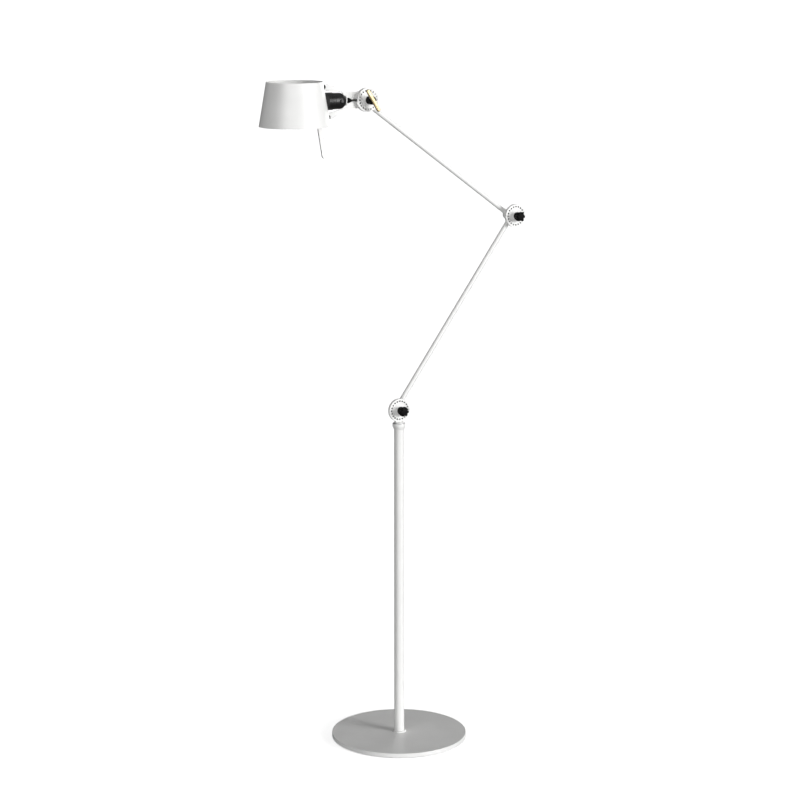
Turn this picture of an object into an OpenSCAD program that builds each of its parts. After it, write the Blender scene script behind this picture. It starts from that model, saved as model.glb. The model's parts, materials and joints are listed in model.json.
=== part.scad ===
// Adjustable floor lamp: a round base, a thin mast, two tube arms on disc joints and a conical shade.
// The origin is the centre of the underside, +Z is up, and the arms move in planes parallel to XZ.

/* [Base] */
// Diameter of the round base plate
base_d = 340; // [280:1:400]
// Height of the top of the base plate above the floor
base_h = 12; // [10:0.5:20]
// Thickness of the pad under the base plate
pad_t = 1.5; // [1:0.1:2.5]

/* [Mast] */
// Outside diameter of the mast tube
mast_d = 25; // [22:0.5:32]
// Wall of the mast tube
mast_wall = 1.5; // [1:0.1:2.5]
// Height of the top of the mast tube and its collar
mast_h = 811.5; // [809:0.5:813]
// Largest diameter of the collar at the top of the mast
collar_d = 33; // [30:0.5:40]

/* [Arms] */
// Outside diameter of both arm tubes
arm_d = 12; // [10:0.5:14]
// Wall of the arm tubes
arm_wall = 1.5; // [1:0.1:2]
// Height of the joint at the top of the mast
shoulder_z = 844.5; // [843:0.5:847]
// Horizontal distance from the mast to the elbow joint
elbow_x = 332.5; // [250:0.5:450]
// Height of the elbow joint
elbow_z = 1307.5; // [1200:0.5:1400]
// Horizontal place of the joint at the tip of the upper arm
tip_x = -86.5; // [-90:0.5:-84]
// Height of the joint at the tip of the upper arm
tip_z = 1610.5; // [1550:0.5:1700]
// Distance of the lower arm's plane behind the mast axis
lower_y = 15.2; // [14:0.1:17]
// Distance of the upper arm's plane behind the mast axis
upper_y = 32; // [30:0.1:36]

/* [Joint discs] */
// Diameter of every joint disc
disc_d = 57.5; // [54:0.5:60]
// Thickness of the discs of the two lower joints
disc_t = 3.3; // [3:0.1:3.5]
// Thickness of the discs of the tip joint
tip_disc_t = 2.5; // [2:0.1:3]
// Diameter of the circle that the small holes lie on
hole_pcd = 45.6; // [44:0.1:48]
// Diameter of the small holes
hole_d = 3.4; // [2:0.1:3.5]
// Number of small holes in a disc
hole_n = 20; // [12:1:24]
// Diameter of the clamp bolts
bolt_d = 8; // [7:0.5:9]

/* [Knobs] */
// Diameter over the lobes of a star knob
star_d = 25; // [22:0.5:28]
// Number of lobes on a star knob
star_n = 6; // [5:1:8]
// Length of the brass wing bar
wing_l = 62; // [50:1:70]
// Width of the brass wing bar
wing_w = 9.5; // [7:0.5:10]
// Angle of the wing bar from the vertical
wing_angle = 32; // [0:1:90]

/* [Shade] */
// Outside diameter of the shade at its lower rim
shade_low_d = 170; // [160:1:190]
// Outside diameter of the shade at its upper rim
shade_top_d = 134; // [120:1:150]
// Height of the shade
shade_h = 105; // [100:1:120]
// Wall of the shade
shade_wall = 1.2; // [1:0.1:2]
// Distance of the shade's axis from the mast axis
shade_x = -280.5; // [-282:0.5:-279]
// Height of the lampholder's axis above the lower rim
shade_axis_h = 56; // [52:1:58]

/* [Lampholder] */
// Outside diameter of the lampholder's skirt and cap
holder_d = 39; // [38:0.1:40]
// Outside diameter of the lampholder's flange
flange_d = 41.5; // [41:0.1:43]
// Diameter of the bulb's glass
bulb_d = 60; // [55:1:62]

/* [Handle] */
// Width of the handle strip
handle_w = 12.5; // [10:0.5:14]
// Thickness of the handle strip
handle_t = 4.5; // [4:0.5:6]
// Length of the handle strip below the shade
handle_drop = 80; // [50:1:100]

/* [Hidden] */
$fn = 96;

gap = 0.2;            // axial gap between faces that turn on each other
fit = 0.05;           // radial clearance of a running fit
eps = 1;              // overshoot of a cutting tool

shoulder = [0, shoulder_z];
elbow = [elbow_x, elbow_z];
tip = [tip_x, tip_z];

face_y = -disc_t;     // front face of every perforated ring
arm_disc_y = 1;       // front of the discs behind the front ones
boss_d = 26;          // bosses that the arm tubes are welded to
friction_d = 52;      // dark friction rings between the perforated discs
lower_back_y = lower_y + arm_d / 2 + 1;
upper_back_y = upper_y + arm_d / 2 + 1;
pin_elbow_d = 16;
pin_tip_d = 14;
nut_l = 5;

// Foot
foot_bolt_d = 10;
foot_bore_h = 7;      // counterbore in the underside of the base plate
insert_h = 30;
grommet_z = 60;

// Mast head
spigot_l = 60;
groove_z = mast_h - 5.5;
washer_t = 1;
head_low_z = mast_h + washer_t + gap;

// Star knob and wing
cone_t = 5;
star_collar_l = 6.5;
star_collar_d = 20;
star_head_t = 15;
bolt_out = 17;        // how far a clamp bolt reaches in front of the mast axis
wing_y = face_y - 26; // middle of the brass bar
wing_t = 6;
wing_pin_d = 5;

// Head
head_y = 2.2;         // plane of the lampholder and the shade axis
axis_z = tip_z;
hub_d = 36;
tip_front_t = tip_disc_t;
head_disc_y = 5.2;
sheet = 2.5;          // sheet metal of the head bracket
web_x = tip_x - 57.8; // face of the bracket's web towards the joint
web_h = 22;
neck_h = 40;
fork_room = 21.5;     // half the height of the bracket's opening round the lampholder
fork_corner = 12;
fork_end_x = web_x - sheet + gap;
tab_w = 16;
cap_end_x = web_x - sheet;
flange_x = cap_end_x - 35;
flange_l = 15;
skirt_end_x = flange_x - 50;
nipple_d = 10;
cable_d = 5;
bolt_up = 36;         // half the distance between the shade bolts
bolt_mid = -2;        // their middle, from the lampholder's axis
tab_off = 1.7;        // the bracket's tabs stand this far off the shade's wall
shade_bolt_d = 5;
hub_end_t = 2;
shade_bolt_head_d = 10;
shade_bolt_head_l = 7;
carrier_x = shade_x + 58; // face of the carrier plate towards the shade's wall
carrier_t = 3;
carrier_low = -53;
cone_slope = (shade_low_d - shade_top_d) / 2 / shade_h;
shade_z = axis_z - shade_axis_h;

// Height of the upper (1) or the lower (-1) shade bolt above the lampholder's axis
function bolt_h(side) = side * bolt_up + bolt_mid;

// Outer radius of the shade at a height above the lampholder's axis
function wall_r(h) = shade_low_d / 2 - (h + shade_axis_h) * cone_slope;

// A cylinder along Y, from y0 to y1
module along_y(y0, y1, d) {
  translate([0, y1, 0]) rotate([90, 0, 0]) cylinder(h = y1 - y0, d = d);
}

// A cylinder along X, from x0 to x1
module along_x(x0, x1, d, d2 = undef) {
  translate([x0, 0, 0]) rotate([0, 90, 0])
    cylinder(h = x1 - x0, d1 = d, d2 = is_undef(d2) ? d : d2);
}

// Moves a shape to a joint in the arms' plane
module at(joint) {
  translate([joint[0], 0, joint[1]]) children();
}

// Moves a shape to the lampholder's axis
module on_axis() {
  translate([0, head_y, axis_z]) children();
}

// An outline drawn in X and Z, from y0 to y1
module sheet_xz(y0, y1) {
  translate([0, y1, 0]) rotate([90, 0, 0]) linear_extrude(y1 - y0) children();
}

// A perforated joint disc
module joint_disc(y0, t, bore) {
  sheet_xz(y0, y0 + t) difference() {
    circle(d = disc_d);
    circle(d = bore);
    for (i = [0 : hole_n - 1]) rotate(i * 360 / hole_n) translate([hole_pcd / 2, 0]) circle(d = hole_d);
  }
}

// A boss with a bore
module boss(y0, y1, d, bore) {
  difference() {
    along_y(y0, y1, d);
    along_y(y0 - eps, y1 + eps, bore);
  }
}

// An arm tube between two joints, notched to sit on the bosses at its ends
module arm_tube(from, to, y) {
  run = to - from;
  length = norm(run);
  difference() {
    translate([from[0], y, from[1]]) rotate([0, atan2(run[0], run[1]), 0]) difference() {
      cylinder(h = length, d = arm_d);
      translate([0, 0, -eps]) cylinder(h = length + 2 * eps, d = arm_d - 2 * arm_wall);
    }
    for (joint = [from, to]) at(joint) along_y(y - arm_d, y + arm_d, boss_d);
  }
}

// A clamp bolt with a round head at its back end
module clamp_bolt(y0, y1) {
  along_y(y0, y1 + eps / 2, bolt_d);
  along_y(y1, y1 + nut_l, 15);
}

// The tapered washer in front of a disc
module cone_washer(y1) {
  difference() {
    translate([0, y1, 0]) rotate([90, 0, 0]) cylinder(h = cone_t, d1 = 34, d2 = 16);
    along_y(y1 - cone_t - eps, y1 + eps, bolt_d);
  }
}

// A star knob with a collar, and a blind bore for the bolt
module star_knob(y1) {
  lobe_d = 8;
  difference() {
    union() {
      along_y(y1 - star_collar_l - eps / 2, y1, star_collar_d);
      sheet_xz(y1 - star_collar_l - star_head_t, y1 - star_collar_l) union() {
        circle(d = star_d - lobe_d);
        for (i = [0 : star_n - 1]) rotate(i * 360 / star_n)
          translate([(star_d - lobe_d) / 2, 0]) circle(d = lobe_d);
      }
    }
    along_y(-bolt_out - 3, y1 + eps, bolt_d + 2 * fit);
  }
}

// The solid cone that the shade's wall is cut from
module shade_cone(inset) {
  translate([shade_x, head_y, shade_z])
    cylinder(h = shade_h, d1 = shade_low_d - 2 * inset, d2 = shade_top_d - 2 * inset);
}

// ---------- base and mast ----------

module base_plate() {
  chamfer = 1;
  color("white") difference() {
    union() {
      translate([0, 0, pad_t]) cylinder(h = base_h - pad_t - chamfer, d = base_d);
      translate([0, 0, base_h - chamfer]) cylinder(h = chamfer, d1 = base_d, d2 = base_d - 2 * chamfer);
    }
    translate([0, 0, pad_t - eps]) cylinder(h = foot_bore_h + eps, d = 26);
    cylinder(h = base_h + eps, d = foot_bolt_d);
  }
}

module base_pad() {
  color("dimgray") cylinder(h = pad_t, d = base_d - 6);
}

module foot_bolt() {
  head_z = pad_t + 0.5;
  color("silver") {
    translate([0, 0, head_z]) cylinder(h = 5, d = 17);
    translate([0, 0, head_z + 5]) cylinder(h = 30, d = foot_bolt_d);
  }
}

module foot_washer() {
  color("silver") translate([0, 0, pad_t + 5.5]) difference() {
    cylinder(h = foot_bore_h - 5.5, d = 24);
    translate([0, 0, -eps]) cylinder(h = foot_bore_h, d = foot_bolt_d);
  }
}

module foot_insert() {
  color("silver") translate([0, 0, base_h]) difference() {
    cylinder(h = insert_h, d = mast_d - 2 * mast_wall);
    translate([0, 0, -eps]) cylinder(h = insert_h + 2 * eps, d = foot_bolt_d);
  }
}

module foot_flange() {
  color("white") translate([0, 0, base_h]) difference() {
    union() {
      cylinder(h = 2, d = 34);
      translate([0, 0, 2]) cylinder(h = 1, d1 = 34, d2 = 32);
    }
    translate([0, 0, -eps]) cylinder(h = 5, d = mast_d);
  }
}

module mast_tube() {
  color("white") difference() {
    translate([0, 0, base_h]) cylinder(h = mast_h - base_h, d = mast_d);
    translate([0, 0, base_h - eps]) cylinder(h = mast_h, d = mast_d - 2 * mast_wall);
    translate([0, 0, grommet_z]) along_y(0, mast_d, 8);
    translate([0, 0, groove_z]) along_y(0, mast_d, 4);
  }
}

module cable_inlet() {
  wall_y = mast_d / 2;
  color("black") translate([0, 0, grommet_z]) difference() {
    union() {
      along_y(wall_y - 4, wall_y, 8);
      intersection() {
        along_y(wall_y - 2, wall_y + 2.5, 13);
        difference() {
          translate([-10, 0, -10]) cube([20, 20, 20]);
          translate([0, 0, -10 - eps]) cylinder(h = 20 + 2 * eps, d = mast_d);
        }
      }
    }
    along_y(wall_y - 5, wall_y + 4, 5.6);
  }
}

module mast_collar() {
  taper_h = 8;
  collar_z = mast_h - 15;
  color("white") difference() {
    translate([0, 0, collar_z]) union() {
      cylinder(h = taper_h, d1 = mast_d + 1, d2 = collar_d);
      translate([0, 0, taper_h]) cylinder(h = 7, d = collar_d);
    }
    translate([0, 0, collar_z - eps]) cylinder(h = 20, d = mast_d);
    translate([0, 0, groove_z]) along_y(0, collar_d, 4);
  }
}

module collar_screw() {
  color("dimgray") translate([0, 0, groove_z]) difference() {
    along_y(9.5, collar_d / 2 - 0.5, 4);
    translate([0, collar_d / 2, 0]) rotate([90, 0, 0]) cylinder(h = 2.5, d = 2, $fn = 6);
  }
}

module swivel_washer() {
  color("gainsboro") translate([0, 0, mast_h]) difference() {
    cylinder(h = washer_t, d = 31);
    translate([0, 0, -eps]) cylinder(h = 4, d = mast_d - 2 * mast_wall);
  }
}

module mast_head() {
  spigot_d = mast_d - 2 * (mast_wall + fit);
  disc_low_z = shoulder_z - disc_d / 2;
  tongue_h = 8;
  color("white") difference() {
    union() {
      translate([0, 0, mast_h - spigot_l]) cylinder(h = spigot_l + washer_t + gap + eps, d = spigot_d);
      translate([0, 0, head_low_z]) cylinder(h = disc_low_z - 0.3 - head_low_z, d = mast_d);
      translate([-11, -disc_t, head_low_z]) cube([22, disc_t, disc_low_z + tongue_h - head_low_z]);
    }
    translate([0, 0, mast_h - spigot_l - eps]) cylinder(h = spigot_l, d = 10);
    translate([0, 0, groove_z - 3]) difference() {
      cylinder(h = 6, d = mast_d);
      translate([0, 0, -eps]) cylinder(h = 8, d = 18);
    }
    at(shoulder) along_y(-disc_t - eps, eps, disc_d);
  }
}

// ---------- shoulder joint at the top of the mast ----------

module mast_disc() {
  color("white") at(shoulder) joint_disc(face_y, disc_t, bolt_d);
}

module shoulder_bolt() {
  color("silver") at(shoulder) clamp_bolt(-bolt_out, lower_back_y + gap);
}

module shoulder_cone() {
  color("whitesmoke") at(shoulder) cone_washer(face_y);
}

module shoulder_knob() {
  color("#181818") at(shoulder) star_knob(face_y - cone_t - gap);
}

// ---------- lower arm ----------

module lower_arm_tube() {
  color("white") arm_tube(shoulder, elbow, lower_y);
}

module lower_arm_foot() {
  color("white") at(shoulder) boss(arm_disc_y + disc_t, lower_back_y, boss_d, bolt_d + 2 * fit);
}

module lower_arm_foot_disc() {
  color("white") at(shoulder) joint_disc(arm_disc_y, disc_t, bolt_d + 2 * fit);
}

module shoulder_washer() {
  color("dimgray") at(shoulder) boss(gap, arm_disc_y, friction_d, bolt_d + 2 * fit);
}

module lower_arm_top() {
  color("white") at(elbow) boss(arm_disc_y + disc_t, lower_back_y, boss_d, pin_elbow_d + 2 * fit);
}

module lower_arm_top_disc() {
  color("white") at(elbow) joint_disc(arm_disc_y, disc_t, pin_elbow_d + 2 * fit);
}

// ---------- upper arm ----------

module upper_arm_tube() {
  color("white") arm_tube(elbow, tip, upper_y);
}

// The block that an end of the upper arm is welded to, with its pivot pin
module pin_block(pin_y, block_y, pin_d) {
  difference() {
    union() {
      along_y(pin_y, block_y + eps, pin_d);
      along_y(block_y, upper_back_y, boss_d);
    }
    along_y(pin_y - eps, upper_back_y + eps, bolt_d);
  }
}

module upper_arm_elbow() {
  color("white") at(elbow) pin_block(0, lower_back_y + gap, pin_elbow_d);
}

module upper_arm_elbow_disc() {
  color("white") at(elbow) joint_disc(face_y, disc_t, bolt_d);
}

module elbow_washer() {
  color("dimgray") at(elbow) boss(0, arm_disc_y - gap, friction_d, pin_elbow_d);
}

module elbow_bolt() {
  color("silver") at(elbow) clamp_bolt(-bolt_out, upper_back_y);
}

module elbow_cone() {
  color("whitesmoke") at(elbow) cone_washer(face_y);
}

module elbow_knob() {
  color("#181818") at(elbow) star_knob(face_y - cone_t - gap);
}

module upper_arm_tip() {
  color("white") at(tip) pin_block(face_y + tip_front_t, head_disc_y + tip_disc_t + gap + 0.1, pin_tip_d);
}

module upper_arm_tip_disc() {
  color("white") at(tip) joint_disc(face_y, tip_front_t, bolt_d);
}

module tip_cone() {
  color("whitesmoke") at(tip) cone_washer(face_y);
}

module tip_bolt() {
  color("silver") at(tip) clamp_bolt(wing_y + wing_t / 2 + hub_end_t + gap, upper_back_y);
}

// ---------- wing nut of the tip joint ----------

module wing_hub() {
  hub_back_y = face_y - cone_t - gap;
  bar_back_y = wing_y + wing_t / 2;
  color("#181818") at(tip) difference() {
    union() {
      along_y(bar_back_y, hub_back_y, star_collar_d);
      along_y(wing_y, bar_back_y + eps, wing_pin_d);
    }
    along_y(bar_back_y + hub_end_t, face_y, bolt_d + 2 * fit);
  }
}

module wing_bar() {
  color("goldenrod") at(tip) rotate([0, -wing_angle, 0]) difference() {
    sheet_xz(wing_y - wing_t / 2, wing_y + wing_t / 2) {
      square([wing_w, wing_l - wing_w], center = true);
      for (side = [-1, 1]) translate([0, side * (wing_l - wing_w) / 2]) circle(d = wing_w);
    }
    along_y(wing_y, wing_y + wing_t, wing_pin_d + 2 * fit);
  }
}

// ---------- head: bracket and cable ----------

module head_disc() {
  color("white") at(tip) joint_disc(head_disc_y, tip_disc_t, pin_tip_d + 2 * fit);
}

module head_hub() {
  color("white") difference() {
    at(tip) boss(face_y + tip_front_t + gap, head_disc_y, hub_d, pin_tip_d + 2 * fit);
    on_axis() along_x(tip_x - hub_d, tip_x - hub_d / 2 + 5, cable_d);
  }
}

// Where the tab of the upper or the lower strap lies
function tab_x(side) = shade_x + wall_r(bolt_h(side)) + tab_off;

// The bracket's side view: a neck that forks above and below the lampholder
module fork_outline() {
  difference() {
    union() {
      for (side = [-1, 1])
        polygon([[tip_x, side * neck_h / 2], [web_x, side * neck_h / 2],
                 [web_x - 30, bolt_h(side) + side * 3], [tab_x(side), bolt_h(side) + side * 8],
                 [tab_x(side), bolt_h(side) - side * 7], [web_x, 0], [tip_x, 0]]);
    }
    // Room for the lampholder, with rounded corners beside its dome
    translate([shade_x, -fork_room]) square([fork_end_x - fork_corner - shade_x, 2 * fork_room]);
    translate([shade_x, fork_corner - fork_room])
      square([fork_end_x - shade_x, 2 * (fork_room - fork_corner)]);
    for (side = [-1, 1])
      translate([fork_end_x - fork_corner, side * (fork_room - fork_corner)]) circle(r = fork_corner);
    translate([tip_x, 0]) circle(d = boss_d + 4);
  }
}

module head_bracket() {
  back_y = head_disc_y + tip_disc_t - head_y;
  color("white") on_axis() difference() {
    union() {
      sheet_xz(back_y, back_y + sheet) fork_outline();
      translate([web_x - sheet, -tab_w / 2, -web_h / 2]) cube([sheet, tab_w, web_h]);
      for (side = [-1, 1]) translate([tab_x(side), -tab_w / 2, bolt_h(side) - 7]) cube([sheet, tab_w, 14]);
    }
    along_x(web_x - 2 * sheet, web_x + sheet, nipple_d);
    along_x(web_x, web_x + 15, 13.8);
    for (side = [-1, 1]) translate([tab_x(side), 0, bolt_h(side)]) along_x(-eps, sheet + eps, shade_bolt_d);
  }
}

module cable_gland() {
  nut_end = web_x + 8.5;
  color("#181818") on_axis() difference() {
    union() {
      along_x(web_x, nut_end, 13);
      along_x(nut_end, nut_end + 5.5, 13, 8);
    }
    along_x(web_x - eps, web_x + 5, nipple_d);
    along_x(web_x, nut_end + 6, cable_d);
  }
}

module cable_nipple() {
  color("goldenrod") on_axis() difference() {
    along_x(cap_end_x - 6, web_x + 5, nipple_d);
    along_x(cap_end_x - 7, web_x + 6, cable_d + 1);
  }
}

module head_cable() {
  color("#202020") on_axis() along_x(web_x + 5, tip_x - hub_d / 2 + 5, cable_d);
}

// ---------- head: lampholder and bulb ----------

// The lampholder cap's side view, a straight skirt with a domed end cut flat, for turning
module cap_outline(r, skirt_h, dome_h) {
  square([r, skirt_h]);
  translate([0, skirt_h]) intersection() {
    circle(r);
    square([r, dome_h]);
  }
}

module holder_cap() {
  r = holder_d / 2;
  wall = 2.5;
  skirt_h = 17.5;
  dome_h = cap_end_x - flange_x - skirt_h;
  color("#181818") on_axis() difference() {
    translate([flange_x, 0, 0]) rotate([0, 90, 0]) rotate_extrude() difference() {
      cap_outline(r, skirt_h, dome_h);
      cap_outline(r - wall, skirt_h, dome_h - wall);
      square([nipple_d / 2, skirt_h + dome_h]);
    }
    translate([flange_x + skirt_h, 0, 0]) along_y(-holder_d, 0, 10 + 2 * fit);
  }
}

module holder_body() {
  color("#181818") on_axis() difference() {
    union() {
      along_x(skirt_end_x, flange_x, holder_d);
      along_x(flange_x - flange_l, flange_x, flange_d);
    }
    along_x(skirt_end_x - eps, flange_x + eps, holder_d - 5);
  }
}

module switch_button() {
  centre_x = cap_end_x + 2 - holder_d / 2;
  front_y = -holder_d / 2 - 3;
  color("#181818") on_axis() translate([centre_x, 0, 0]) {
    along_y(front_y, front_y + 8, 10);
    along_y(front_y + 8, front_y + 10, 13);
  }
}

module holder_gasket() {
  color("#202020") difference() {
    on_axis() along_x(shade_x + 55, flange_x - flange_l, flange_d);
    on_axis() along_x(shade_x, flange_x, holder_d);
    shade_cone(0);
  }
}

module holder_ring() {
  color("#181818") on_axis() difference() {
    along_x(carrier_x - carrier_t - 5, carrier_x - carrier_t, 50);
    along_x(skirt_end_x, flange_x, holder_d);
  }
}

module socket_insert() {
  color("white") on_axis() difference() {
    along_x(flange_x - 22, flange_x - 4, holder_d - 5);
    along_x(flange_x - 23, flange_x - 19, 9);
  }
}

module socket_shell() {
  color("goldenrod") on_axis() difference() {
    along_x(skirt_end_x + 3, flange_x - 22, 28);
    along_x(skirt_end_x + 2, flange_x - 21, 27);
  }
}

module socket_contact() {
  color("goldenrod") on_axis() along_x(flange_x - 24, flange_x - 19, 9);
}

module bulb_cap() {
  color("silver") on_axis() {
    along_x(skirt_end_x - 1, flange_x - 27, 26.4);
    along_x(flange_x - 27, flange_x - 24, 20, 8);
  }
}

// The bulb's side view from its neck at the origin to its round end, for turning
module bulb_outline(inset) {
  centre_h = 47;
  intersection() {
    union() {
      translate([0, centre_h]) circle(d = bulb_d - 2 * inset);
      polygon([[0, -inset], [14 - inset, -inset], [28 - inset, centre_h - 11], [0, centre_h - 11]]);
    }
    translate([0, -inset]) square([bulb_d, 2 * bulb_d]);
  }
}

module bulb_glass() {
  color("white", 0.6) on_axis() translate([skirt_end_x - 1, 0, 0]) rotate([0, -90, 0])
    rotate_extrude() difference() {
      bulb_outline(0);
      bulb_outline(1);
    }
}

// ---------- head: shade and handle ----------

module lamp_shade() {
  color("white") difference() {
    shade_cone(0);
    translate([shade_x, head_y, shade_z - shade_h])
      cylinder(h = 3 * shade_h, r1 = wall_r(-shade_axis_h - shade_h) - shade_wall,
               r2 = wall_r(2 * shade_h - shade_axis_h) - shade_wall);
    on_axis() along_x(shade_x, flange_x, holder_d);
    for (side = [-1, 1]) on_axis() translate([0, 0, bolt_h(side)]) along_x(shade_x, flange_x, shade_bolt_d);
  }
}

module shade_carrier() {
  color("white") on_axis() difference() {
    translate([carrier_x - carrier_t, -25, carrier_low]) cube([carrier_t, 50, 42 - carrier_low]);
    along_x(skirt_end_x, flange_x, holder_d);
    for (side = [-1, 1]) translate([0, 0, bolt_h(side)]) along_x(skirt_end_x, flange_x, shade_bolt_d);
  }
}

module shade_bolts() {
  color("#181818") for (side = [-1, 1]) on_axis() translate([0, 0, bolt_h(side)]) {
    head_x = tab_x(side) + sheet;
    along_x(carrier_x - carrier_t - 5, head_x, shade_bolt_d);
    difference() {
      along_x(head_x, head_x + shade_bolt_head_l, shade_bolt_head_d);
      translate([head_x + 4.5, 0, 0]) rotate([0, 90, 0]) cylinder(h = 5, d = 4, $fn = 6);
    }
  }
}

module shade_nuts() {
  color("silver") for (side = [-1, 1]) on_axis() translate([carrier_x - carrier_t - 4, 0, bolt_h(side)])
    rotate([0, 90, 0]) difference() {
      cylinder(h = 4, d = 9.2, $fn = 6);
      translate([0, 0, -eps]) cylinder(h = 6, d = shade_bolt_d);
    }
}

module shade_spacers() {
  color("#202020") for (side = [-1, 1]) {
    difference() {
      on_axis() translate([0, 0, bolt_h(side)]) along_x(shade_x + 50, tab_x(side), 10);
      on_axis() translate([0, 0, bolt_h(side)]) along_x(shade_x, flange_x, shade_bolt_d);
      shade_cone(0);
    }
    difference() {
      intersection() {
        on_axis() translate([0, 0, bolt_h(side)]) along_x(carrier_x, flange_x, 10);
        shade_cone(shade_wall);
      }
      on_axis() translate([0, 0, bolt_h(side)]) along_x(shade_x, flange_x, shade_bolt_d);
    }
  }
}

module handle_strip() {
  lean = atan(cone_slope); // the strip runs parallel to the shade's wall
  rim_x = shade_x + 65.4;
  foot_h = 9;
  top = shade_axis_h + carrier_low + foot_h;
  color("white") translate([0, head_y, shade_z]) sheet_xz(-handle_t / 2, handle_t / 2) {
    intersection() {
      translate([rim_x, 0]) rotate(lean) {
        translate([-handle_w / 2, -handle_drop + handle_w / 2]) square([handle_w, handle_drop + 20]);
        translate([0, -handle_drop + handle_w / 2]) circle(d = handle_w);
      }
      translate([carrier_x, -2 * handle_drop]) square([80, 2 * handle_drop + top]);
    }
    translate([carrier_x, top - foot_h]) square([8, foot_h]);
  }
}

base_plate();
base_pad();
foot_bolt();
foot_washer();
foot_insert();
foot_flange();
mast_tube();
cable_inlet();
mast_collar();
collar_screw();
swivel_washer();
mast_head();
mast_disc();
shoulder_bolt();
shoulder_cone();
lower_arm_tube();
lower_arm_foot();
lower_arm_foot_disc();
shoulder_washer();
lower_arm_top();
lower_arm_top_disc();
upper_arm_tube();
upper_arm_elbow();
upper_arm_elbow_disc();
elbow_washer();
elbow_bolt();
elbow_cone();
upper_arm_tip();
upper_arm_tip_disc();
tip_cone();
tip_bolt();
shoulder_knob();
elbow_knob();
wing_hub();
wing_bar();
head_disc();
head_hub();
head_bracket();
cable_gland();
cable_nipple();
head_cable();
holder_cap();
holder_body();
switch_button();
holder_gasket();
holder_ring();
socket_insert();
socket_shell();
socket_contact();
bulb_cap();
bulb_glass();
lamp_shade();
shade_carrier();
shade_bolts();
shade_nuts();
shade_spacers();
handle_strip();
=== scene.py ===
"""The adjustable floor lamp, dressed for its picture. Lengths in the code are millimetres."""

import json
import math

import bmesh
import bpy
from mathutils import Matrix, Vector
from mathutils.geometry import tessellate_polygon

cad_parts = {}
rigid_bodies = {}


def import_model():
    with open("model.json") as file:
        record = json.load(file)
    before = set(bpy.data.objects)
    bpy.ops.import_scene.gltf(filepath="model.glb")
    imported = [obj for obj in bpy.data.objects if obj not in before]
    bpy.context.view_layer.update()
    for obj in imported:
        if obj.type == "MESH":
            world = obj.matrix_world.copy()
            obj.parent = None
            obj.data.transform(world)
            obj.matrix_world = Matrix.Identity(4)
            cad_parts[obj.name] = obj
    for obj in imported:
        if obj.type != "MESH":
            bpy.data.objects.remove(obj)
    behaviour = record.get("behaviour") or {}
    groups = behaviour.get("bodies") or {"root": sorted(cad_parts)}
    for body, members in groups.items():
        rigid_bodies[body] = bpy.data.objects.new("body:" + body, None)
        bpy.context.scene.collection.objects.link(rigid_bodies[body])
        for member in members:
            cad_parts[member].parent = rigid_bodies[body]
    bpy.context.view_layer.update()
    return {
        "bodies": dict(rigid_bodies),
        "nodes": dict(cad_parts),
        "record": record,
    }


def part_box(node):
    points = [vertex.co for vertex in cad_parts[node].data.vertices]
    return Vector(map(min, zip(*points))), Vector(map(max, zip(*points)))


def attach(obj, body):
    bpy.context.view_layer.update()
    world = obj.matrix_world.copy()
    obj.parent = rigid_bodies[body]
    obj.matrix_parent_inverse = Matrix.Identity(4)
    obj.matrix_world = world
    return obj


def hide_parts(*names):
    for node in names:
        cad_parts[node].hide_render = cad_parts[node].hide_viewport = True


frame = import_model()

MM = 0.001
RECORD_SLOT = {s["node"]: s["material_slot"] for s in frame["record"]["subparts"]}
BODY_OF = {node: body for node, obj in frame["nodes"].items()
           for body, empty in frame["bodies"].items() if obj.parent == empty}

# ---------- camera ----------

CAMERA_PLACE = (-2.779, -4.973, 2.023)
CAMERA_DOWN = 11.443  # degrees below the horizon
CAMERA_TURN = -29.219
CAMERA_LENS = 105.88

scene = bpy.context.scene
camera = bpy.data.objects.new("camera", bpy.data.cameras.new("camera"))
scene.collection.objects.link(camera)
camera.location = CAMERA_PLACE
camera.rotation_euler = (math.radians(90 - CAMERA_DOWN), 0, math.radians(CAMERA_TURN))
camera.data.lens = CAMERA_LENS
camera.data.sensor_width = 36
camera.data.dof.use_dof = False
scene.camera = camera

# ---------- materials ----------


class Nodes:
    """A material's node tree, with short ways to add and join nodes."""

    def __init__(self, name):
        self.material = bpy.data.materials.new(name)
        self.material.use_nodes = True
        self.tree = self.material.node_tree
        self.shader = self.tree.nodes["Principled BSDF"]
        self.place = self.add("ShaderNodeTexCoord").outputs["Object"]

    def add(self, kind, **values):
        node = self.tree.nodes.new(kind)
        for key, value in values.items():
            node.inputs[key.replace("_", " ")].default_value = value
        return node

    def link(self, source, target):
        self.tree.links.new(source, target)

    def noise(self, scale, detail=3.0, stretch=None, roughness=0.5):
        node = self.add("ShaderNodeTexNoise", Scale=scale, Detail=detail, Roughness=roughness)
        source = self.place
        if stretch:
            mapping = self.add("ShaderNodeMapping")
            mapping.inputs["Scale"].default_value = stretch
            self.link(source, mapping.inputs["Vector"])
            source = mapping.outputs["Vector"]
        self.link(source, node.inputs["Vector"])
        return node.outputs["Fac"]

    def ramp(self, source, low, high, start=0.3, end=0.7):
        node = self.add("ShaderNodeValToRGB")
        for element, colour, where in zip(node.color_ramp.elements, (low, high), (start, end)):
            element.color, element.position = (*colour, 1), where
        self.link(source, node.inputs["Fac"])
        return node.outputs["Color"]

    def spread(self, source, low, high):
        node = self.add("ShaderNodeMapRange", From_Min=0.3, From_Max=0.7, To_Min=low, To_Max=high)
        self.link(source, node.inputs["Value"])
        return node.outputs["Result"]

    def bump(self, source, strength, distance, before=None):
        node = self.add("ShaderNodeBump", Strength=strength, Distance=distance)
        self.link(source, node.inputs["Height"])
        if before:
            self.link(before, node.inputs["Normal"])
        return node.outputs["Normal"]


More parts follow.
